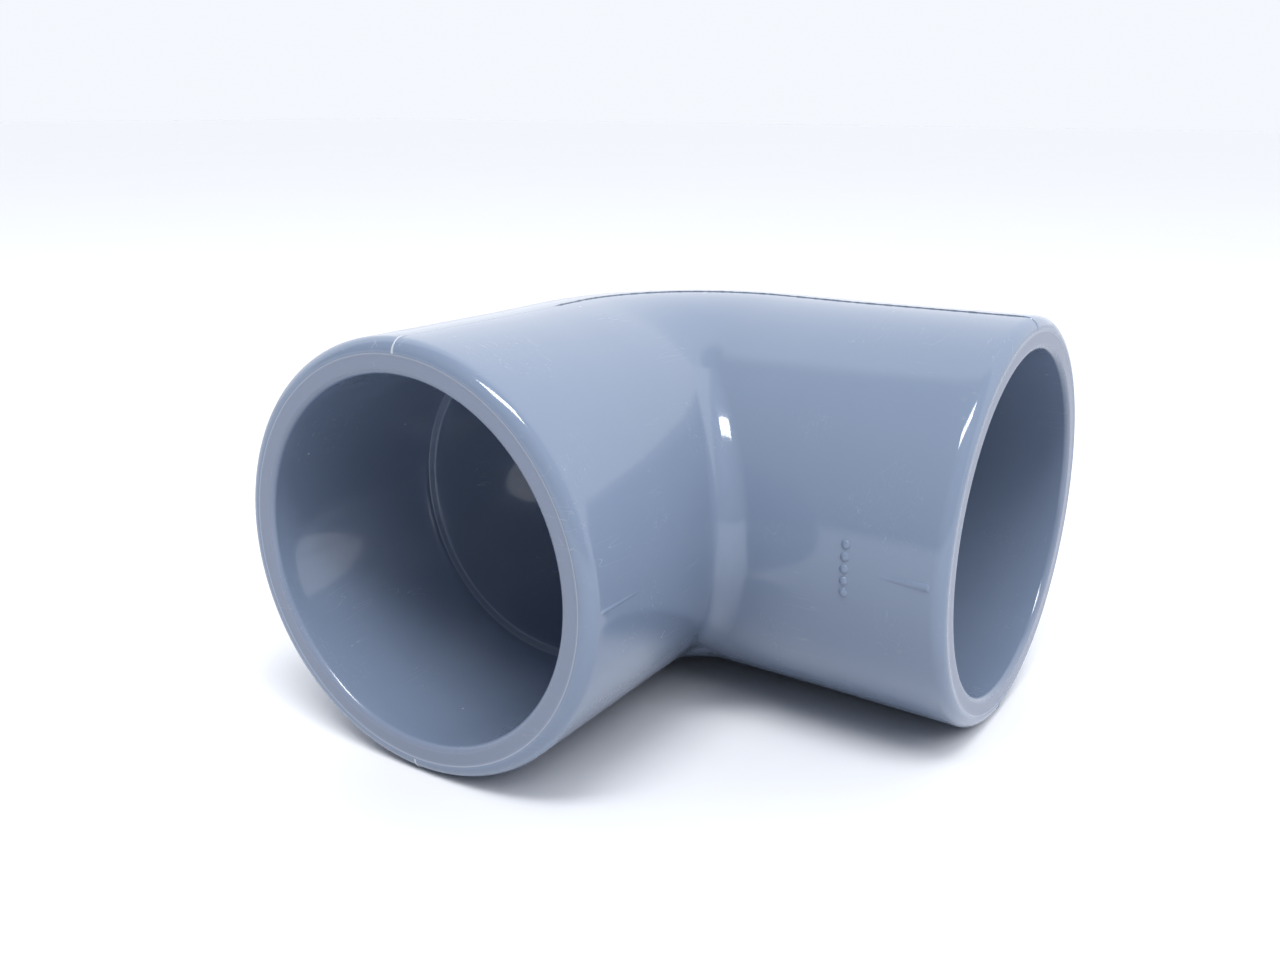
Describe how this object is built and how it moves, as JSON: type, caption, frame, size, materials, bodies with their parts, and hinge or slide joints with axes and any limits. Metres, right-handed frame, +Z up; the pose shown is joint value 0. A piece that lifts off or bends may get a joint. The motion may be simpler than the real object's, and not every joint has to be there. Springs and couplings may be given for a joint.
{
  "type": "pipe elbow",
  "caption": "Moulded 90 degree plastic pipe elbow with two plain sockets for solvent-cemented pipe, a rounded heel and inner pipe stops.",
  "frame": {"origin": "middle of the bounding box at its lowest plane; the elbow lies on its side on Z = 0", "axes": "+Z up, square to both pipe axes; -Y out of the front socket; +X out of the side socket"},
  "size_m": [0.1091, 0.1091, 0.0721],
  "materials": {
    "grey_plastic": "moulded gloss"
  },
  "bodies": {
    "root": {"elbow_body": "grey_plastic"}
  },
  "joints": []
}
